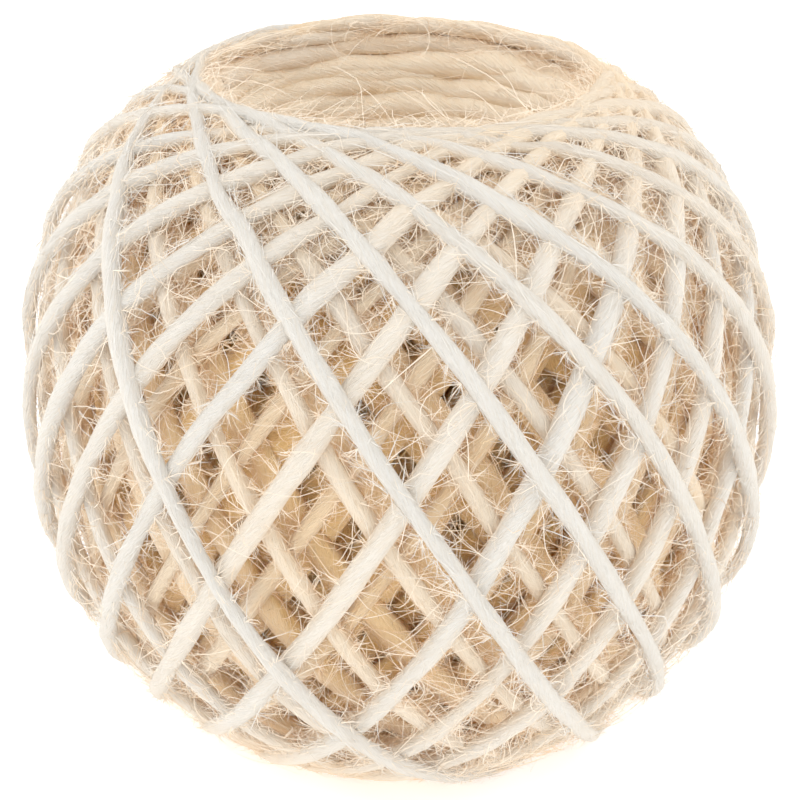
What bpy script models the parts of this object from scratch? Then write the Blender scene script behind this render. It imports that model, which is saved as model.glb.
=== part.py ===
"""Ball of string: an open lattice of soft twine wound round a wide centre hole, standing on end.

Metres, +Z up. The origin is at the middle of the ring that the ball stands on. Angles of the
winding are in degrees. A turn of the winding is a flat loop that leans against the hole, so it
crosses the ball's face twice: falling to the right, and rising to the right.
"""

import math

import bmesh
import bpy

# Driving sizes
BALL_RADIUS = 0.040
HOLE_RADIUS = 0.0205
TWINE = 0.0019
BARREL_POWER = 2.38
TURN_LEAN = 60.6

# Winding, counted in degrees round the ball and in steps between two neighbouring turns
TURNS_AROUND = 20
STEPS_PER_TURN = 4
FRONT = -90.0
FIRST_TURN = 6.0
RISING_SHIFT = 2
FALLING_ON_TOP_FROM = -50.0
FALLING_ON_TOP_TO = 130.0
CHANGE_OVER = 9.0

# Depths below the outermost turns
UNDER_TURN_DEPTH = 0.92 * TWINE
FLANK_DEPTH = 2.4 * TWINE
PIT_DEPTH = 4.0 * TWINE

# Rims: the outermost row of relief, the row where the flat ring ends, and the rounding
LAST_ROW = 72.0
FLAT_ROW = 63.0
RELIEF_FADES_FROM = 27.0
RIM_ROUNDING = 0.0005

# Wall of the hole: wide, shallow turns stacked one on the other
WALL_TURNS = 8
WALL_GROOVE = 0.0009
WALL_COLUMNS = TURNS_AROUND * STEPS_PER_TURN // 2

# Finish
TWINE_COLOUR = (0.76, 0.66, 0.53, 1.0)
TWINE_ROUGHNESS = 0.95

COLUMNS = TURNS_AROUND * STEPS_PER_TURN
STEP = 360.0 / COLUMNS


def barrel(latitude):
    """Distance from the ball's centre to its outermost turns, as a share of the radius."""
    flat = abs(math.cos(latitude)) ** BARREL_POWER
    tall = abs(math.sin(latitude)) ** BARREL_POWER
    return (flat + tall) ** (-1.0 / BARREL_POWER)


def on_ball(row_angle, depth):
    """Distance from the axis and height over the ball's centre, for a row of the winding."""
    latitude = math.atan(math.tan(math.radians(TURN_LEAN)) * math.sin(math.radians(row_angle)))
    reach = BALL_RADIUS * barrel(latitude) - depth
    return reach * math.cos(latitude), reach * math.sin(latitude)


RIM_HEIGHT = on_ball(90.0, 0.0)[1]
FLOOR = on_ball(-FLAT_ROW, 0.0)[1]


def falling_share(around):
    """1 where the turns falling to the right lie on top, 0 where the rising ones do."""
    middle = 0.5 * (FALLING_ON_TOP_FROM + FALLING_ON_TOP_TO)
    half = 0.5 * (FALLING_ON_TOP_TO - FALLING_ON_TOP_FROM)
    away = abs((around - middle + 180.0) % 360.0 - 180.0)
    return min(max(0.5 + 0.5 * (half - away) / CHANGE_OVER, 0.0), 1.0)


def is_falling(column, row):
    return (column + row) % STEPS_PER_TURN == 0


def is_rising(column, row):
    return (column - row) % STEPS_PER_TURN == RISING_SHIFT


def depth_at(column, row):
    """Depth of the relief at a grid point: on a turn, beside one, or in the pit between four."""
    share = falling_share(FIRST_TURN + column * STEP)
    row_angle = abs(row * STEP - 90.0)
    fade = min(max((LAST_ROW - row_angle) / (LAST_ROW - RELIEF_FADES_FROM), 0.0), 1.0)
    depths = [FLANK_DEPTH]
    if (column + row) % 2 == 0:
        depths = [FLANK_DEPTH + (PIT_DEPTH - FLANK_DEPTH) * fade]
    if is_falling(column, row):
        depths.append(UNDER_TURN_DEPTH * (1.0 - share))
    if is_rising(column, row):
        depths.append(UNDER_TURN_DEPTH * share)
    return min(depths) * fade


def ring(mesh, count, radius_height):
    """One closed ring of points; radius_height gives each column its radius and height."""
    points = []
    for column in range(count):
        around = math.radians(FRONT + FIRST_TURN + column * 360.0 / count)
        radius, height = radius_height(column)
        point = (radius * math.cos(around), radius * math.sin(around), max(height, FLOOR) - FLOOR)
        points.append(mesh.verts.new(point))
    return points


def outer_face(mesh):
    """The lattice on the outside, from the lower rim to the upper one."""
    first_row = round((90.0 - LAST_ROW) / STEP)
    last_row = round((90.0 + LAST_ROW) / STEP)
    rows = []
    for row in range(first_row, last_row + 1):
        rows.append(ring(mesh, COLUMNS, lambda c, r=row: on_ball(r * STEP - 90.0, depth_at(c, r))))
    for index in range(len(rows) - 1):
        low, high = rows[index], rows[index + 1]
        row = first_row + index
        for column in range(COLUMNS):
            after = (column + 1) % COLUMNS
            corners = (low[column], low[after], high[after], high[column])
            if is_falling(column, row + 1):
                start = 1
            elif is_rising(column, row):
                start = 0
            else:
                start = 1 if (column + row) % 2 == 0 else 0
            a, b, c, d = corners[start:] + corners[:start]
            mesh.faces.new((a, b, c))
            mesh.faces.new((a, c, d))
    return rows[0], rows[-1]


def bridge(mesh, lower, upper):
    """A strip between two rings with the same number of points, faces looking outwards."""
    count = len(lower)
    for column in range(count):
        after = (column + 1) % count
        mesh.faces.new((lower[column], lower[after], upper[after]))
        mesh.faces.new((lower[column], upper[after], upper[column]))


def halve(mesh, many, few, turned):
    """A strip from a ring to one with half as many points."""
    for column in range(len(few)):
        after = (column + 1) % len(few)
        near, middle, far = many[2 * column], many[2 * column + 1], many[2 * after]
        faces = [(near, middle, few[column]), (middle, few[after], few[column]),
                 (middle, far, few[after])]
        for face in faces:
            mesh.faces.new(face[::-1] if turned else face)


def hole_wall(mesh, bottom_rim, top_rim):
    """The wall of the hole, with its stacked turns, joined to the two rims."""
    lowest = FLOOR + RIM_ROUNDING
    highest = RIM_HEIGHT - RIM_ROUNDING
    levels = 2 * WALL_TURNS
    rings = []
    for level in range(levels + 1):
        height = lowest + (highest - lowest) * level / levels
        radius = HOLE_RADIUS + WALL_GROOVE * (level % 2)
        rings.append(ring(mesh, WALL_COLUMNS, lambda c, r=radius, h=height: (r, h)))
    for low, high in zip(rings, rings[1:]):
        bridge(mesh, high, low)
    halve(mesh, top_rim, rings[-1], False)
    halve(mesh, bottom_rim, rings[0], True)


def wound_ball():
    mesh = bmesh.new()
    bottom_row, top_row = outer_face(mesh)
    rim_radius = HOLE_RADIUS + RIM_ROUNDING
    top_rim = ring(mesh, COLUMNS, lambda c: (rim_radius, RIM_HEIGHT))
    bottom_rim = ring(mesh, COLUMNS, lambda c: (rim_radius, FLOOR))
    bridge(mesh, top_row, top_rim)
    bridge(mesh, bottom_rim, bottom_row)
    hole_wall(mesh, bottom_rim, top_rim)
    return mesh


def twine_material():
    material = bpy.data.materials.new("twine")
    material.use_nodes = True
    shader = material.node_tree.nodes["Principled BSDF"]
    shader.inputs["Base Color"].default_value = TWINE_COLOUR
    shader.inputs["Roughness"].default_value = TWINE_ROUGHNESS
    shader.inputs["Metallic"].default_value = 0.0
    return material


def main():
    for old in list(bpy.data.objects):
        bpy.data.objects.remove(old, do_unlink=True)
    built = wound_ball()
    data = bpy.data.meshes.new("string_ball")
    built.to_mesh(data)
    built.free()
    data.shade_smooth()
    data.set_sharp_from_angle(angle=math.radians(55.0))
    data.materials.append(twine_material())
    ball = bpy.data.objects.new("string_ball", data)
    bpy.context.scene.collection.objects.link(ball)


main()
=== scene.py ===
"""Ball of string: one long off-white twine, wound in an open lattice round a wide centre hole.

The twine is followed backwards from its newest turn on the outside to its first turn at the hole.
Angles are in degrees. Around the ball they count from the front, growing to the right. Row angles
run from -90 at the lower rim to 90 at the upper one. Sizes are in metres.
"""

import math
import bpy
import numpy as np
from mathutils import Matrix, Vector


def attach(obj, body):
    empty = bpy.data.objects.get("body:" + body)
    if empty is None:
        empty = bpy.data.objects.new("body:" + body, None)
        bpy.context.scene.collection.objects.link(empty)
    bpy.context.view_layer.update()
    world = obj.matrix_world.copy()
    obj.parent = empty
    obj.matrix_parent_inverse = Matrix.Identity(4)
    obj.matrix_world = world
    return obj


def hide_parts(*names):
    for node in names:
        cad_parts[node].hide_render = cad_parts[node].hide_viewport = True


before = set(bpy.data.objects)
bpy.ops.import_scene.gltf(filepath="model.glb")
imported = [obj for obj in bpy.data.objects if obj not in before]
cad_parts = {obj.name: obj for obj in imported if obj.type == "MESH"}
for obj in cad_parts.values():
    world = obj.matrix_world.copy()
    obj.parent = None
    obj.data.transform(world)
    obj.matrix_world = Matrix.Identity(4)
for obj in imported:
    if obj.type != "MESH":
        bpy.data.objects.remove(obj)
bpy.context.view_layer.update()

# Sizes of the wound ball
BALL_RADIUS = 0.040
HOLE_RADIUS = 0.0194
TWINE_RADIUS = 0.00084
BARREL_POWER = 2.38
CENTRE = np.array([0.0, 0.0, 0.0354])
RIM_TURN_RADIUS = HOLE_RADIUS + TWINE_RADIUS
SMALLEST_TURN_RADIUS = HOLE_RADIUS + 1.02 * TWINE_RADIUS

# Winding: how the layers shrink with each turn back towards the hole
TURNS = 168
NEWEST_RADIUS = 0.0412
RADIUS_PER_TURN = 0.000150
RADIUS_PER_OLD_TURN = 0.000105
NEWEST_RIM = 0.0355
RIM_PER_NEW_TURN = 0.00004
RIM_PER_OLD_TURN = 0.00011
TURNS_AROUND = 20.7
OLD_TURNS_FROM = 42.0
MIDDLE_OF_FALL = 0.25
USUAL_SPACING = 17.4
SPACING_WANDER = 0.9
# Where each of the newest turns falls across the front, in degrees round the ball at the middle
# row; the older turns follow at the usual spacing.
NEWEST_TURNS = (
    -27.5, 7.5, 26.5, 44.0, 61.0, 78.0, 93.0, 108.0, 120.0, 134.0, 149.0, 165.0, 185.0, 201.0,
    214.0, 230.0, 248.0, 266.0, 285.0, 304.0, 324.0, 343.0, 360.0, 377.0, 394.0, 412.0,
)

# The three stretches of twine: first and last turn, rings to a turn and sides
OUTER_STRETCH = (-0.5, 21.0, 160, 12)
SECOND_STRETCH = (21.0, 42.0, 120, 9)
INNER_STRETCH = (42.0, float(TURNS), 60, 6)
NEWEST_END = -0.5

# The twine: two plies laid round each other
PLY_RADIUS = 0.86
PLY_OFFSET = 0.14
LAY_LENGTH = 0.0180
TRAVEL_STEPS = 60
# Thickness and flattening by the age of a turn; both ease off where the twine bends at the rims
THICKNESS_TURNS = (6.0, 13.0, 22.0, 34.0, 45.0)
THICKNESS = (1.03, 1.28, 0.98, 1.05, 1.90)
FLATTENING = (0.04, 0.10, 0.08, 0.14, 0.36)
THINNER_AT_RIM = 0.20
THINNER_TURNS = (20.0, 40.0)
THINNING_POWER = 3
RIM_POWER = 6
END_TAPER_TURNS = 0.01

# Unevenness along the twine: how far it wanders, and how many knots of noise a turn has
SIDE_WANDER = 0.00027
FINE_SIDE_WANDER = 0.4 * SIDE_WANDER
OUTWARD_WANDER = 0.00007
THICKNESS_WANDER = 0.09
FINE_THICKNESS_WANDER = 0.6 * THICKNESS_WANDER
RIM_WANDER = 0.00055
WALL_WANDER = 0.00030
TINT_WANDER = 0.16
WANDER_KNOTS = 14.0
FINE_SIDE_KNOTS = 3.5 * WANDER_KNOTS
THICKNESS_KNOTS = 2.0 * WANDER_KNOTS
FINE_THICKNESS_KNOTS = 6.0 * WANDER_KNOTS
RIM_KNOTS = 2.0
WALL_KNOTS = 3.0
TINT_KNOTS = 5.0
# Between these turns the winding at the rims and in the hole goes from tidy to loose
LOOSE_TURNS = (8.0, 30.0)
LOOSENESS = (0.2, 1.0)

# One seed for each kind of unevenness
FIBRE_SEED = 11
PLACES_SEED = 5
SIDE_SEED = 21
OUTWARD_SEED = 22
THICKNESS_SEED = 23
FINE_SIDE_SEED = 24
FINE_THICKNESS_SEED = 25
RIM_SEED = 31
WALL_SEED = 32
TINT_SEED = 33

# Loose fibres: how many of each kind
LYING_FIBRES = 32000
EDGE_FIBRES = 62000
WALL_FIBRES = 9000
CURLED_FIBRES = 7500
PIT_FIBRES = 10500
LONG_FIBRES = 1000
FUZZ_FIBRES = 33000
# Their size: width, its spread and share at the tip, shortest length and shape of its spread
FIBRE_WIDTH = 0.000075
WIDTH_SPREAD = (0.6, 1.2)
TIP_WIDTH = 0.5
SHORTEST_FIBRE = 0.0004
LENGTH_SHAPE = 3.5
# How they leave the twine, how far they stand out and how close to the floor they come
ROOT_STEPS = 200
ROOT_DEPTH = 0.9
ROOTS_THIN_OUT_TO = 0.6
FEWEST_ROOTS = 0.15
OUTWARD_LEAN = 0.25
DIRECTION_SPREAD = 0.1
FIBRE_STANDS_OUT = 0.0006
FIBRE_OVER_FLOOR = 0.0002
# Those in the hole: how near the wall they grow, how much they rise and lean, curl and kink
WALL_ROOT_STEPS = 120
WALL_ROOTS_WITHIN = 3.0 * TWINE_RADIUS
WALL_RISE = 0.5
WALL_ROOT_RISE = 1.5
WALL_LEAN = (0.15, 0.6)
WALL_CURL = 0.3
WALL_KINK = 0.1

# Colour of the fibre where it lies open, and painted shade: warm where turns cover it, gold deep in
# the winding
OUTSIDE = (0.73, 0.70, 0.64, 1.0)
PAINTED_SHADE_BELOW = (0.92, 0.72, 0.475, 1.0)
PAINTED_SHADE_DEEP = (0.78, 0.465, 0.155, 1.0)
# Stains along the plies, and painted shade that warms the twine's flanks seen edge-on
STREAK_TINT = (0.90, 0.80, 0.67, 1.0)
FLANK_PAINTED_SHADE = (1.0, 0.945, 0.86, 1.0)
# The same, lighter as painted light, for the old turns that the wall of the hole shows
INNER_PAINTED_LIGHT_OUTSIDE = (0.99, 0.91, 0.76, 1.0)
INNER_PAINTED_LIGHT_BELOW = (0.98, 0.80, 0.54, 1.0)
# And for the hairs in the gaps and the hole: lighter and warmer, painted light against the shade
# there
STRAW_PAINTED_LIGHT_OUTSIDE = (0.92, 0.79, 0.62, 1.0)
STRAW_PAINTED_SHADE_BELOW = (0.95, 0.76, 0.54, 1.0)
STRAW_PAINTED_SHADE_DEEP = (0.95, 0.65, 0.36, 1.0)
PAPER = (0.97, 0.97, 0.97, 1.0)
WHITE = (1.0, 1.0, 1.0, 1.0)

# Painted shade on the fibre: 0 is open, 1 covered and 2 deep. Depth, cover and age of a turn for
# each
PAINTED_SHADE_STAGES = (0.0, 1.0, 2.0)
PAINTED_SHADE_DEPTHS = (0.0004, 0.0028, 0.0060)
PAINTED_SHADE_COVERS = (0.05, 0.24, 0.47)
PAINTED_SHADE_TURNS = (10.0, 19.0, 24.0, 34.0, 50.0)
PAINTED_SHADE_BY_TURN = (0.0, 0.18, 0.60, 1.05, 1.8)
# Near the wall: the depth it counts as, its own painted shade, and how soon that gives way behind
# it
WALL_DEPTH = 0.0024
WALL_PAINTED_SHADE = 0.55
WALL_SHADE_ENDS = (0.0004, 0.0011)
WALL_SHADE_RISES = 0.0018
# Round the rims: the distances from the wall over which older turns get more painted shade
RIM_SHADE_ENDS = (0.004, 0.016)
RIM_SHADE_TURNS = (5.0, 9.0, 22.0)
RIM_SHADE_BY_TURN = (0.0, 0.7, 1.5)

# Grid in which the cover over each place is worked out: its step, its reach and how dense twine is
COVER_STEP = 0.0008
COVER_HALF = 54
COVER_REACH = 10
COVER_DENSITY = 0.8
COVER_RINGS = 300

# Camera, from the photograph's frame
IMAGE_SIDE = 800
CAMERA_ELEVATION = 24.9
CAMERA_DISTANCE = 5.5 * BALL_RADIUS
LENS_PIXELS = 2030.0
BALL_CENTRE_PIXEL = (398.3, 390.5)
SENSOR = 36.0

# Light: name, place, width and power of each lamp, the light from all round, and the floor
LAMPS = (
    ("upper_lamp", (-0.22, -0.30, 0.55), 0.5, 0.9),
    ("left_lamp", (-0.52, 0.05, 0.16), 0.9, 1.85),
    ("right_lamp", (0.52, 0.05, 0.16), 0.9, 2.1),
)
SKY_STRENGTH = 1.03
FLOOR_GLOW = 0.45
FLOOR_HALF = 3.0
VIEW_GAMMA = 1.4
DIFFUSE_BOUNCES = 10
ALL_BOUNCES = 14

rng = np.random.default_rng(FIBRE_SEED)
cover = None


# Shape of the wound layers


def layer_sizes(turns):
    """Radius at the middle and height at the rim of the twine's own centre line, for each turn."""
    age = np.maximum(turns, 0.0)
    radius = NEWEST_RADIUS - TWINE_RADIUS - RADIUS_PER_TURN * np.minimum(age, OLD_TURNS_FROM)
    radius = radius - RADIUS_PER_OLD_TURN * np.maximum(age - OLD_TURNS_FROM, 0.0)
    radius = np.maximum(radius, SMALLEST_TURN_RADIUS)
    rim = NEWEST_RIM - RIM_PER_NEW_TURN * np.minimum(age, TURNS_AROUND)
    rim = rim - RIM_PER_OLD_TURN * np.maximum(age - TURNS_AROUND, 0.0)
    return radius, rim


def layer_reach(latitude, radius, rim):
    """Distance from the centre to the twine's middle, on a barrel that meets the hole's rim."""
    spread = 1.0 - (RIM_TURN_RADIUS / radius) ** BARREL_POWER
    stretch = rim / radius * spread ** (-1.0 / BARREL_POWER)
    flat = np.abs(np.cos(latitude)) ** BARREL_POWER
    tall = (np.abs(np.sin(latitude)) / stretch) ** BARREL_POWER
    return radius * (flat + tall) ** (-1.0 / BARREL_POWER)


def turn_places():
    """Where every turn falls across the front, newest first."""
    places = list(NEWEST_TURNS)
    wander = np.random.default_rng(PLACES_SEED)
    while len(places) < TURNS + 3:
        places.append(places[-1] + USUAL_SPACING + wander.normal(0.0, SPACING_WANDER))
    return np.array(places)


def smooth_noise(turns, knots_per_turn, amount, seed):
    """Gentle wander along the twine, the same for every piece of it."""
    wander = np.random.default_rng(seed)
    knots = wander.normal(0.0, amount, int((TURNS + 3) * knots_per_turn) + 2)
    at = (turns + 1.0) * knots_per_turn
    base = np.floor(at).astype(int)
    share = at - base
    share = share * share * (3.0 - 2.0 * share)
    return knots[base] * (1.0 - share) + knots[base + 1] * share


def twine_path(first_turn, last_turn, steps):
    """Middle points of the twine between two turns, counted back from the newest.

    A turn starts at the upper rim, falls across the front to the lower rim, and rises again.
    """
    places = turn_places()
    turns = np.arange(int(round((last_turn - first_turn) * steps)) + 1) / steps + first_turn
    place = np.interp(turns - MIDDLE_OF_FALL, np.arange(len(places)), places, left=places[0])
    swing = np.radians(360.0 * turns)
    radius, rim = layer_sizes(turns)
    latitude = np.arctan(rim / RIM_TURN_RADIUS * np.cos(swing))
    around = np.radians(place - 90.0) + swing - np.radians(360.0) * np.floor(turns)
    reach = layer_reach(latitude, radius, rim)
    loose = np.cos(swing) ** RIM_POWER * np.interp(turns, LOOSE_TURNS, LOOSENESS)
    slack = np.abs(smooth_noise(turns, WALL_KNOTS, WALL_WANDER, WALL_SEED))
    level = reach * np.cos(latitude) + loose * slack
    height = reach * np.sin(latitude) + loose * smooth_noise(turns, RIM_KNOTS, RIM_WANDER, RIM_SEED)
    east = around - np.radians(90.0)
    flat = [level * np.cos(east), level * np.sin(east)]
    return turns, np.stack(flat + [height + CENTRE[2]], axis=1)


def depth_below_top(points):
    """How far each point lies inside the newest turns that cover the ball at that place."""
    from_centre = points - CENTRE
    level = np.linalg.norm(from_centre[:, :2], axis=1)
    distance = np.linalg.norm(from_centre, axis=1)
    latitude = np.arctan2(from_centre[:, 2], level)
    around = np.degrees(np.arctan2(from_centre[:, 1], from_centre[:, 0])) + 90.0
    steepest = NEWEST_RIM / RIM_TURN_RADIUS
    row = np.degrees(np.arcsin(np.clip(np.tan(latitude) / steepest, -1.0, 1.0)))
    falling = ((around + row - NEWEST_TURNS[0]) / USUAL_SPACING) % TURNS_AROUND
    rising = ((around - row + 180.0 - NEWEST_TURNS[0]) / USUAL_SPACING) % TURNS_AROUND
    radius, rim = layer_sizes(np.minimum(falling, rising))
    return layer_reach(latitude, radius, rim) - distance


def painted_shade_at(points, turns):
    """Painted shade: 0 where the fibre lies open, 1 where turns cover it, 2 deep down. The wall
    lies open too.
    """
    from_hole = np.linalg.norm(points[:, :2], axis=1) - HOLE_RADIUS
    behind = np.maximum(from_hole, 0.0)
    depth = np.minimum(depth_below_top(points), WALL_DEPTH + behind)
    stage = np.maximum(np.interp(depth, PAINTED_SHADE_DEPTHS, PAINTED_SHADE_STAGES),
                       np.interp(cover_at(points), PAINTED_SHADE_COVERS, PAINTED_SHADE_STAGES))
    stage = np.maximum(stage, np.interp(turns, PAINTED_SHADE_TURNS, PAINTED_SHADE_BY_TURN))
    stage = stage + smooth_noise(turns, TINT_KNOTS, TINT_WANDER, TINT_SEED)
    stage = np.maximum(stage, np.interp(from_hole, WALL_SHADE_ENDS, (WALL_PAINTED_SHADE, 0.0)))
    at_rim = np.interp(from_hole, RIM_SHADE_ENDS, (1.0, 0.0))
    stage = np.maximum(stage, at_rim * np.interp(turns, RIM_SHADE_TURNS, RIM_SHADE_BY_TURN))
    return np.minimum(stage, WALL_PAINTED_SHADE + behind / WALL_SHADE_RISES)


def cover_grid():
    """How much of each place's open half other twine takes up, from 0 on the outside to 1."""
    _, points = twine_path(NEWEST_END, float(TURNS), COVER_RINGS)
    size = 2 * COVER_HALF
    cell = np.floor((points - CENTRE) / COVER_STEP).astype(int) + COVER_HALF
    filled = np.zeros((size, size, size), np.float32)
    np.add.at(filled, tuple(cell.T), 1.0)
    for axis in range(3):
        filled = (np.roll(filled, 1, axis) + 2.0 * filled + np.roll(filled, -1, axis)) / 4.0
    light = []
    for way in [(x, y, z) for x in (-1, 0, 1) for y in (-1, 0, 1) for z in (-1, 0, 1)]:
        if way != (0, 0, 0):
            length = math.sqrt(abs(way[0]) + abs(way[1]) + abs(way[2]))
            passed = np.zeros_like(filled)
            for step in range(2, int(COVER_REACH / length) + 1):
                passed += np.roll(filled, [-step * part for part in way], (0, 1, 2)) * length
            light.append(np.exp(-COVER_DENSITY * passed))
    open_half = len(light) // 2
    return 1.0 - np.sort(np.stack(light), axis=0)[open_half:].mean(axis=0)


def cover_at(points):
    """Cover at each point, read between the cells of the grid."""
    place = (points - CENTRE) / COVER_STEP + COVER_HALF - 0.5
    place = np.clip(place, 0.0, 2 * COVER_HALF - 1.001)
    low = np.floor(place).astype(int)
    share = place - low
    total = np.zeros(len(points))
    for x in (0, 1):
        for y in (0, 1):
            for z in (0, 1):
                weight = np.prod(np.abs(np.array([1 - x, 1 - y, 1 - z]) - share), axis=1)
                total += weight * cover[low[:, 0] + x, low[:, 1] + y, low[:, 2] + z]
    return total


# Meshes


def unit(vectors):
    return vectors / np.maximum(np.linalg.norm(vectors, axis=-1, keepdims=True), 1e-12)


def twine_frame(points):
    """Direction along the twine, and the two directions across it: outwards and sideways."""
    along = unit(np.gradient(points, axis=0))
    outwards = points - CENTRE
    outwards = unit(outwards - along * np.sum(outwards * along, axis=1, keepdims=True))
    return along, outwards, np.cross(along, outwards)


def mesh_piece(name, points, faces, material, turns=None, lay=None):
    """An object from arrays. Fibre gets its painted shade from its turns, and twine is smooth and
    has its own coordinates."""
    data = bpy.data.meshes.new(name)
    data.vertices.add(len(points))
    data.vertices.foreach_set("co", np.asarray(points, np.float32).ravel())
    sides = faces.shape[1]
    data.loops.add(faces.size)
    data.loops.foreach_set("vertex_index", faces.astype(np.int32).ravel())
    data.polygons.add(len(faces))
    data.polygons.foreach_set("loop_start", np.arange(0, faces.size, sides, dtype=np.int32))
    data.update(calc_edges=True)
    if lay is not None:
        data.shade_smooth()
        layer = data.attributes.new("lay", "FLOAT_VECTOR", "POINT")
        layer.data.foreach_set("vector", np.asarray(lay, np.float32).ravel())
    # Painted shade for each point, from its depth, its cover and the age of its turn
    if turns is not None:
        painted_shade = data.attributes.new("painted_shade", "FLOAT", "POINT")
        painted_shade.data.foreach_set("value", painted_shade_at(np.asarray(points), turns).astype(np.float32))
    data.materials.append(material)
    piece = bpy.data.objects.new(name, data)
    bpy.context.scene.collection.objects.link(piece)
    return piece


def tube_faces(rings, sides):
    ring = np.arange(rings - 1)[:, None] * sides
    side = np.arange(sides)[None, :]
    after = (side + 1) % sides
    faces = [ring + side, ring + after, ring + sides + after, ring + sides + side]
    return np.stack(faces, axis=2).reshape(-1, 4)


def ply_radius(angle):
    """Outline of the two plies together, as a share of the twine's radius."""
    lengthwise = PLY_OFFSET * np.abs(np.cos(angle))
    return lengthwise + np.sqrt(PLY_RADIUS**2 - (PLY_OFFSET * np.sin(angle)) ** 2)


def twine_travelled(turns):
    """Length of twine between the newest end and each place, so that its twist runs on unbroken."""
    places, points = twine_path(NEWEST_END, float(TURNS), TRAVEL_STEPS)
    steps = np.linalg.norm(np.diff(points, axis=0), axis=1)
    return np.interp(turns, places, np.concatenate([[0.0], np.cumsum(steps)]))


def twine_thickness(turns):
    """Radius of the twine, uneven, finer at the rims and drawn to a point at its own two ends."""
    thick = TWINE_RADIUS * (
        1.0 + smooth_noise(turns, THICKNESS_KNOTS, THICKNESS_WANDER, THICKNESS_SEED)
        + smooth_noise(turns, FINE_THICKNESS_KNOTS, FINE_THICKNESS_WANDER, FINE_THICKNESS_SEED))
    thick = thick * np.interp(turns, THICKNESS_TURNS, THICKNESS)
    thinner = THINNER_AT_RIM * np.interp(turns, THINNER_TURNS, (1.0, 0.0))
    thick = thick * (1.0 - thinner * np.abs(np.cos(2.0 * math.pi * turns)) ** THINNING_POWER)
    from_end = np.minimum(turns - NEWEST_END, TURNS - turns) / END_TAPER_TURNS
    return thick * np.sqrt(np.clip(from_end, 0.0, 1.0))


def twine_piece(name, stretch, material):
    """One stretch of the twine as a twisted two-ply tube."""
    first_turn, last_turn, steps, sides = stretch
    turns, points = twine_path(first_turn, last_turn, steps)
    along, outwards, sideways = twine_frame(points)
    for way, knots, amount, seed in (
            (sideways, WANDER_KNOTS, SIDE_WANDER, SIDE_SEED),
            (outwards, WANDER_KNOTS, OUTWARD_WANDER, OUTWARD_SEED),
            (sideways, FINE_SIDE_KNOTS, FINE_SIDE_WANDER, FINE_SIDE_SEED)):
        points = points + way * smooth_noise(turns, knots, amount, seed)[:, None]
    travelled = twine_travelled(turns)
    twist = 2.0 * math.pi * travelled / LAY_LENGTH
    angle = np.linspace(0.0, 2.0 * math.pi, sides, endpoint=False)[None, :]
    turned = angle - twist[:, None]
    radius = twine_thickness(turns)[:, None] * ply_radius(turned)
    off_rim = 1.0 - np.cos(2.0 * math.pi * turns) ** RIM_POWER
    flat = (np.interp(turns, THICKNESS_TURNS, FLATTENING) * off_rim)[:, None, None]
    ring = ((1.0 - flat) * np.cos(angle)[..., None] * outwards[:, None, :]
            + (1.0 + flat) * np.sin(angle)[..., None] * sideways[:, None, :])
    verts = (points[:, None, :] + radius[..., None] * ring).reshape(-1, 3)
    verts[:, 2] = np.maximum(verts[:, 2], 0.0)
    length = np.repeat(travelled[:, None], sides, axis=1) / TWINE_RADIUS
    lay = np.stack([np.cos(turned), np.sin(turned), length], axis=2).reshape(-1, 3)
    return mesh_piece(name, verts, tube_faces(len(points), sides), material,
                      np.repeat(turns, sides), lay)


# Materials


def new_material(name, colour, roughness):
    material = bpy.data.materials.new(name)
    material.use_nodes = True
    shader = material.node_tree.nodes["Principled BSDF"]
    shader.inputs["Base Color"].default_value = colour
    shader.inputs["Roughness"].default_value = roughness
    return material, material.node_tree, shader


def set_inputs(node, values):
    """Fixed values for a node's inputs; underscores stand for spaces in their names."""
    for name, value in values.items():
        node.inputs[name.replace("_", " ")].default_value = value


def new_node(tree, kind, **values):
    node = tree.nodes.new(kind)
    set_inputs(node, values)
    return node


def new_group(name, inputs, outputs):
    """A node group with named inputs, each with its value, and its two end nodes."""
    group = bpy.data.node_groups.new(name, "ShaderNodeTree")
    for label, value in inputs:
        kind = "NodeSocketColor" if isinstance(value, tuple) else "NodeSocketFloat"
        socket = group.interface.new_socket(label, in_out="INPUT", socket_type=kind)
        socket.default_value = value
    for label, kind in outputs:
        group.interface.new_socket(label, in_out="OUTPUT", socket_type=kind)
    given = group.nodes.new("NodeGroupInput")
    result = group.nodes.new("NodeGroupOutput")
    return group, given.outputs, result.inputs


def placed(tree, group, **values):
    """A node group in a material, with the material's own values."""
    node = tree.nodes.new("ShaderNodeGroup")
    node.node_tree = group
    set_inputs(node, values)
    return node


def mixed(tree, kind, factor, first, second):
    """The colour that comes out of mixing two colours; a tuple is a fixed colour."""
    mix = tree.nodes.new("ShaderNodeMix")
    mix.data_type = "RGBA"
    mix.blend_type = kind
    sockets = {(socket.name, socket.type): socket for socket in mix.inputs}
    tree.links.new(factor, sockets["Factor", "VALUE"])
    for name, colour in (("A", first), ("B", second)):
        if isinstance(colour, tuple):
            sockets[name, "RGBA"].default_value = colour
        else:
            tree.links.new(colour, sockets[name, "RGBA"])
    return next(socket for socket in mix.outputs if socket.type == "RGBA")


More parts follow.
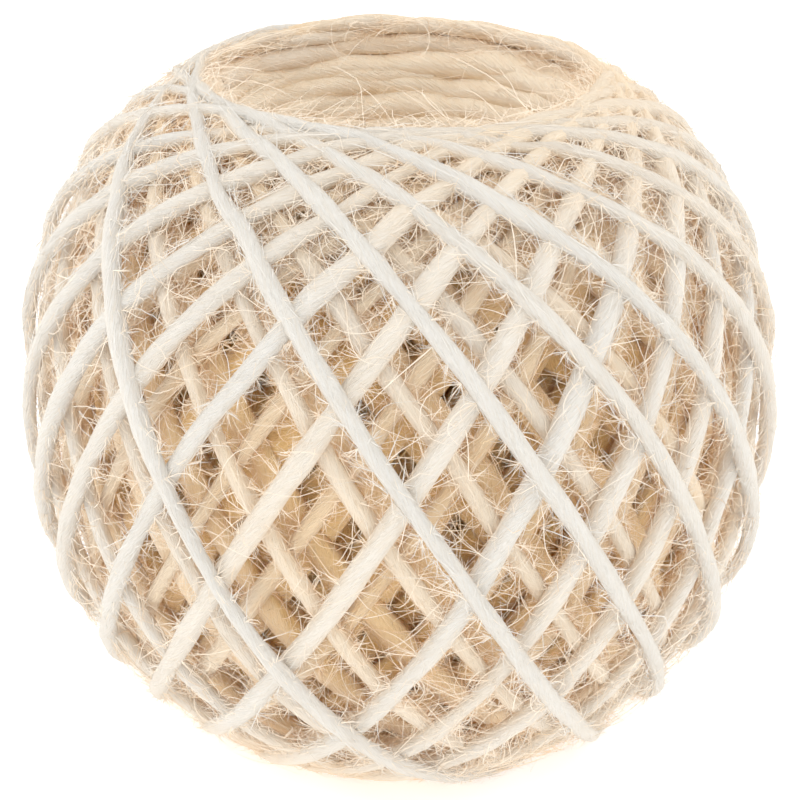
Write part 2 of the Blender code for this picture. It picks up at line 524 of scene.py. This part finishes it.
def painted_shade_and_stain_group():
    """Bleached white in the open, with painted shade that turns it warm straw and gold where other
    turns cover it; stained streaks; and painted shade that warms the flanks seen edge-on."""
    group, given, result = new_group(
        "Fibre Painted Shade and Stains",
        [("Outside", OUTSIDE), ("Below", PAINTED_SHADE_BELOW), ("Deep", PAINTED_SHADE_DEEP), ("Streak", 0.5),
         ("Streak Amount", 0.2), ("FlankShade", 0.0)],
        [("Colour", "NodeSocketColor")])
    links = group.links
    # The painted shade stage of each point: 0 open, 1 covered, 2 deep
    stage = new_node(group, "ShaderNodeAttribute")
    stage.attribute_name = "painted_shade"
    shallow = new_node(group, "ShaderNodeMapRange")
    deep = new_node(group, "ShaderNodeMapRange", From_Min=1.0, From_Max=2.0)
    for band in (shallow, deep):
        links.new(stage.outputs["Fac"], band.inputs["Value"])
    shade = new_node(group, "ShaderNodeMapRange",
                     From_Min=0.35, From_Max=0.62, To_Min=1.0, To_Max=0.0)
    links.new(given["Streak"], shade.inputs["Value"])
    strength = group.nodes.new("ShaderNodeMath")
    strength.operation = "MULTIPLY"
    links.new(shade.outputs["Result"], strength.inputs[0])
    links.new(given["Streak Amount"], strength.inputs[1])
    colour = mixed(group, "MIX", shallow.outputs["Result"], given["Outside"], given["Below"])
    colour = mixed(group, "MIX", deep.outputs["Result"], colour, given["Deep"])
    colour = mixed(group, "MULTIPLY", strength.outputs["Value"], colour, STREAK_TINT)
    # Painted shade: warmer where the flank is seen edge-on
    colour = mixed(group, "MULTIPLY", given["FlankShade"], colour, FLANK_PAINTED_SHADE)
    links.new(colour, result["Colour"])
    return group


def grain_group():
    """Streaks that run along the plies, and the raised grain that they make."""
    group, given, result = new_group(
        "Twine Grain",
        [("Scale", 1.0), ("Detail", 3.0), ("Roughness", 0.65), ("Relief", 0.9)],
        [("Streak", "NodeSocketFloat"), ("Normal", "NodeSocketVector")])
    links = group.links
    lay = new_node(group, "ShaderNodeAttribute")
    lay.attribute_name = "lay"
    stretch = new_node(group, "ShaderNodeMapping", Scale=(7.0, 7.0, 0.45))
    links.new(lay.outputs["Vector"], stretch.inputs["Vector"])
    streaks = new_node(group, "ShaderNodeTexNoise")
    for name in ("Scale", "Detail", "Roughness"):
        links.new(given[name], streaks.inputs[name])
    links.new(stretch.outputs["Vector"], streaks.inputs["Vector"])
    bump = new_node(group, "ShaderNodeBump", Distance=0.0004)
    links.new(given["Relief"], bump.inputs["Strength"])
    links.new(streaks.outputs["Fac"], bump.inputs["Height"])
    links.new(streaks.outputs["Fac"], result["Streak"])
    links.new(bump.outputs["Normal"], result["Normal"])
    return group


def mottle_group():
    """A little light and dark at random from one place to the next."""
    group, given, result = new_group(
        "Hair Mottle", [("Scale", 700.0)], [("Streak", "NodeSocketFloat")])
    noise = new_node(group, "ShaderNodeTexNoise")
    group.links.new(given["Scale"], noise.inputs["Scale"])
    group.links.new(noise.outputs["Fac"], result["Streak"])
    return group


def twine_material(name, painted_shade, grain, outside, below):
    """Soft plant fibre: painted shade where turns cover it, streaks along the plies, a fine raised
    grain, painted shade on the flanks seen edge-on, and a dull sheen.
    """
    material, tree, shader = new_material(name, outside, 0.9)
    links = tree.links
    grained = placed(tree, grain)
    shaded_and_stained = placed(tree, painted_shade, Outside=outside, Below=below, Deep=PAINTED_SHADE_DEEP, Streak_Amount=0.5)
    # Painted shade: the flanks turn warmer as they turn from the view
    facing_shade = new_node(tree, "ShaderNodeLayerWeight", Blend=0.35)
    links.new(facing_shade.outputs["Facing"], shaded_and_stained.inputs["FlankShade"])
    links.new(grained.outputs["Streak"], shaded_and_stained.inputs["Streak"])
    links.new(shaded_and_stained.outputs["Colour"], shader.inputs["Base Color"])
    links.new(grained.outputs["Normal"], shader.inputs["Normal"])
    shader.inputs["Sheen Weight"].default_value = 0.3
    shader.inputs["Sheen Roughness"].default_value = 0.5
    shader.inputs["Specular IOR Level"].default_value = 0.2
    return material


def fibre_material(name, painted_shade, mottle, outside, below, deep):
    """Single hairs with painted shade where turns cover them, a little darker at random from one
    place to the next.
    """
    material, tree, shader = new_material(name, outside, 0.7)
    mottled = placed(tree, mottle)
    shaded_and_stained = placed(tree, painted_shade, Outside=outside, Below=below, Deep=deep, Streak_Amount=0.2)
    tree.links.new(mottled.outputs["Streak"], shaded_and_stained.inputs["Streak"])
    tree.links.new(shaded_and_stained.outputs["Colour"], shader.inputs["Base Color"])
    shader.inputs["Specular IOR Level"].default_value = 0.2
    return material


def floor_material():
    """Plain pale studio paper with the faintest tooth, lit from below like a light table."""
    material, tree, shader = new_material("studio paper", PAPER, 0.95)
    shader.inputs["Emission Color"].default_value = WHITE
    shader.inputs["Emission Strength"].default_value = FLOOR_GLOW
    noise = new_node(tree, "ShaderNodeTexNoise", Scale=900.0)
    bump = new_node(tree, "ShaderNodeBump", Strength=0.03, Distance=0.0002)
    tree.links.new(noise.outputs["Fac"], bump.inputs["Height"])
    tree.links.new(bump.outputs["Normal"], shader.inputs["Normal"])
    return material


# Loose fibres


def kept_low(points, least):
    """Points brought down towards a height over the newest turns, so that none stands far out."""
    flat = points.reshape(-1, 3)
    out = flat - CENTRE
    distance = np.linalg.norm(out, axis=1, keepdims=True)
    proud = -depth_below_top(flat)[:, None]
    lowered = least + FIBRE_STANDS_OUT * (1.0 - np.exp((least - proud) / FIBRE_STANDS_OUT))
    lowered = np.where(proud > least, lowered, proud)
    return (CENTRE + out / distance * (distance - proud + lowered)).reshape(points.shape)


def fibre_strips(name, starts, ways, turns, mean_length, curl, kink, height, segments, material):
    """Flat fibres that run out to a point; each curls about its own axis and kinks on its way."""
    count = len(starts)
    lengths = rng.gamma(LENGTH_SHAPE, mean_length / LENGTH_SHAPE, count) + SHORTEST_FIBRE
    widths = rng.uniform(*WIDTH_SPREAD, count) * FIBRE_WIDTH
    spin = unit(rng.normal(size=(count, 3))) * rng.normal(0.0, curl, (count, 1))
    heading = ways
    points = [starts]
    for _ in range(segments):
        turned = np.cross(spin, heading) + kink * rng.normal(size=(count, 3))
        heading = unit(heading + turned)
        points.append(points[-1] + heading * (lengths / segments)[:, None])
    points = kept_low(np.stack(points, axis=1), height)
    along = unit(np.gradient(points, axis=1))
    side = unit(np.cross(along, unit(rng.normal(size=(count, 1, 3)))))
    taper = np.linspace(1.0, TIP_WIDTH, segments + 1)[None, :, None]
    half = side * taper * 0.5 * widths[:, None, None]
    edges = np.stack([points - half, points + half], axis=2)[:, :segments].reshape(count, -1, 3)
    verts = np.concatenate([edges, points[:, -1:]], axis=1)
    size = verts.shape[1]
    verts = verts.reshape(-1, 3)
    verts[:, 2] = np.maximum(verts[:, 2], FIBRE_OVER_FLOOR)
    one = []
    for step in range(0, 2 * segments - 2, 2):
        one += [(step, step + 1, step + 3), (step, step + 3, step + 2)]
    one.append((size - 3, size - 2, size - 1))
    faces = (np.array(one)[None] + (np.arange(count) * size)[:, None, None]).reshape(-1, 3)
    return mesh_piece(name, verts, faces, material, np.repeat(turns, size))


def fibre_roots(count, turns, lean, flank_spread):
    """Random starting points on the flanks of the twine and the way that each fibre leaves it."""
    ages, points = twine_path(turns[0], turns[1], ROOT_STEPS)
    along, outwards, sideways = twine_frame(points)
    level = np.linalg.norm(points[:, :2], axis=1)
    full = ROOTS_THIN_OUT_TO * (BALL_RADIUS - HOLE_RADIUS)
    share = np.clip((level - HOLE_RADIUS) / full, FEWEST_ROOTS, 1.0)
    pick = rng.choice(len(points), count, p=share / share.sum())
    flank = rng.choice([-0.5, 0.5], count) * math.pi + rng.normal(0.0, flank_spread, count)
    skin = np.cos(flank)[:, None] * outwards[pick] + np.sin(flank)[:, None] * sideways[pick]
    sign = rng.choice([-1.0, 1.0], count)[:, None]
    lean = rng.uniform(lean[0], lean[1], count)[:, None]
    way = sign * along[pick] * (1.0 - lean) + skin * lean
    way = way - outwards[pick] * rng.uniform(-OUTWARD_LEAN, OUTWARD_LEAN, count)[:, None] * lean
    way = unit(way + DIRECTION_SPREAD * rng.normal(size=(count, 3)))
    return points[pick] + skin * TWINE_RADIUS * ROOT_DEPTH, way, ages[pick]


def wall_hairs(name, count, mean_length, segments, material):
    """Short fibres that stand off the wall of the hole and its rims."""
    ages, points = twine_path(0.0, float(TURNS), WALL_ROOT_STEPS)
    along, _, _ = twine_frame(points)
    level = np.linalg.norm(points[:, :2], axis=1)
    inward = -points * [1.0, 1.0, 0.0] / level[:, None]
    pick = rng.choice(np.nonzero(level < HOLE_RADIUS + WALL_ROOTS_WITHIN)[0], count)
    rise = rng.normal(0.0, WALL_RISE, (count, 1)) * [0.0, 0.0, 1.0]
    lean = rng.uniform(*WALL_LEAN, (count, 1))
    way = unit(rng.choice([-1.0, 1.0], (count, 1)) * along[pick] + lean * unit(inward[pick] + rise))
    starts = points[pick] + unit(inward[pick] + WALL_ROOT_RISE * rise) * TWINE_RADIUS
    return fibre_strips(name, starts, way, ages[pick], mean_length, WALL_CURL, WALL_KINK,
                        TWINE_RADIUS, segments, material)


def hairs(name, count, turns, lean, spread, curl, kink, height, length, segments, material):
    """One crop of loose fibres on the twine between two turns."""
    starts, ways, ages = fibre_roots(count, turns, lean, spread)
    return fibre_strips(name, starts, ways, ages, length, curl, kink, height, segments, material)


def loose_fibres(white, straw):
    """All crops of fibres: white ones on the turns, straw ones in the gaps and the hole, lighter
    and warmer as painted light against the shade there.
    """
    lying = hairs(
        "lying_fibres", LYING_FIBRES, turns=(0, 34), lean=(0.0, 0.2), spread=1.2, curl=0.1,
        kink=0.03, height=TWINE_RADIUS, length=0.0024, segments=2, material=white)
    edge = hairs(
        "edge_fibres", EDGE_FIBRES, turns=(0, 42), lean=(0.25, 1.0), spread=0.6, curl=0.4,
        kink=0.12, height=0.0005, length=0.0015, segments=2, material=straw)
    curled = hairs(
        "curled_fibres", CURLED_FIBRES, turns=(0, 30), lean=(0.4, 1.0), spread=0.4, curl=0.38,
        kink=0.10, height=-0.0002, length=0.0065, segments=9, material=straw)
    pit = hairs(
        "pit_fibres", PIT_FIBRES, turns=(12, 50), lean=(0.4, 1.0), spread=0.4, curl=0.38,
        kink=0.10, height=-0.0002, length=0.0065, segments=9, material=straw)
    wall = wall_hairs("wall_fibres", WALL_FIBRES, 0.0040, 4, straw)
    fuzz = hairs(
        "fuzz_fibres", FUZZ_FIBRES, turns=(0, 26), lean=(0.15, 0.7), spread=0.5, curl=0.3,
        kink=0.1, height=0.0007, length=0.0014, segments=2, material=white)
    long = hairs(
        "long_fibres", LONG_FIBRES, turns=(0, 45), lean=(0.2, 0.9), spread=0.5, curl=0.2,
        kink=0.1, height=TWINE_RADIUS, length=0.0090, segments=10, material=white)
    return [lying, edge, curled, pit, wall, fuzz, long]


# Stage


def add_lamp(name, place, size, energy):
    """A round lamp that looks at the ball."""
    lamp = bpy.data.lights.new(name, "AREA")
    lamp.shape = "DISK"
    lamp.size = size
    lamp.energy = energy
    lamp_object = bpy.data.objects.new(name, lamp)
    lamp_object.location = place
    aim = Vector(CENTRE) - lamp_object.location
    lamp_object.rotation_euler = aim.to_track_quat("-Z", "Y").to_euler()
    bpy.context.scene.collection.objects.link(lamp_object)


def add_camera():
    """The camera that took the photo, as far as its picture tells."""
    camera = bpy.data.cameras.new("camera")
    camera.sensor_width = SENSOR
    camera.lens = LENS_PIXELS / IMAGE_SIDE * SENSOR
    camera.clip_start = 0.01
    camera.clip_end = 20.0
    camera.shift_x = (IMAGE_SIDE / 2 - BALL_CENTRE_PIXEL[0]) / IMAGE_SIDE
    camera.shift_y = (BALL_CENTRE_PIXEL[1] - IMAGE_SIDE / 2) / IMAGE_SIDE
    camera_object = bpy.data.objects.new("camera", camera)
    tilt = math.radians(CAMERA_ELEVATION)
    camera_object.location = (0.0, -CAMERA_DISTANCE * math.cos(tilt),
                              CENTRE[2] + CAMERA_DISTANCE * math.sin(tilt))
    camera_object.rotation_euler = (math.radians(90.0) - tilt, 0.0, 0.0)
    bpy.context.scene.collection.objects.link(camera_object)
    bpy.context.scene.camera = camera_object


def studio():
    """Pale floor, soft light from all round, three broad lamps and the camera."""
    scene = bpy.context.scene
    scene.view_settings.view_transform = "Standard"
    scene.view_settings.look = "None"
    scene.view_settings.gamma = VIEW_GAMMA
    scene.cycles.diffuse_bounces = DIFFUSE_BOUNCES
    scene.cycles.max_bounces = ALL_BOUNCES
    world = bpy.data.worlds.new("studio")
    world.use_nodes = True
    sky = world.node_tree.nodes["Background"]
    sky.inputs["Color"].default_value = WHITE
    sky.inputs["Strength"].default_value = SKY_STRENGTH
    scene.world = world

    half = FLOOR_HALF
    corners = [[-half, -half, 0.0], [half, -half, 0.0], [half, half, 0.0], [-half, half, 0.0]]
    floor = mesh_piece("studio_floor", corners, np.array([[0, 1, 2, 3]]), floor_material())

    for name, place, size, energy in LAMPS:
        add_lamp(name, place, size, energy)
    add_camera()


cover = cover_grid()
studio()

painted_shade_and_stains = painted_shade_and_stain_group()
twine_grain = grain_group()
hair_mottle = mottle_group()
outer_twine = twine_material("outer twine", painted_shade_and_stains, twine_grain, OUTSIDE, PAINTED_SHADE_BELOW)
# A lighter copy of the twine for the old turns of the hole's wall: painted light
inner_twine_painted_light = twine_material("inner twine, painted light", painted_shade_and_stains, twine_grain, INNER_PAINTED_LIGHT_OUTSIDE, INNER_PAINTED_LIGHT_BELOW)
white_fibre = fibre_material("white fibre", painted_shade_and_stains, hair_mottle, OUTSIDE, PAINTED_SHADE_BELOW, PAINTED_SHADE_DEEP)
# Lighter, warmer hairs for the gaps and the hole: painted light
straw_fibre_painted_light = fibre_material("straw fibre, painted light", painted_shade_and_stains, hair_mottle, STRAW_PAINTED_LIGHT_OUTSIDE, STRAW_PAINTED_SHADE_BELOW,
                             STRAW_PAINTED_SHADE_DEEP)

newest = twine_piece("outer_turns", OUTER_STRETCH, outer_twine)
second = twine_piece("second_turns", SECOND_STRETCH, outer_twine)
oldest = twine_piece("inner_turns", INNER_STRETCH, inner_twine_painted_light)
pieces = [newest, second, oldest] + loose_fibres(white_fibre, straw_fibre_painted_light)

for piece in pieces:
    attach(piece, "root")
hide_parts("string_ball")
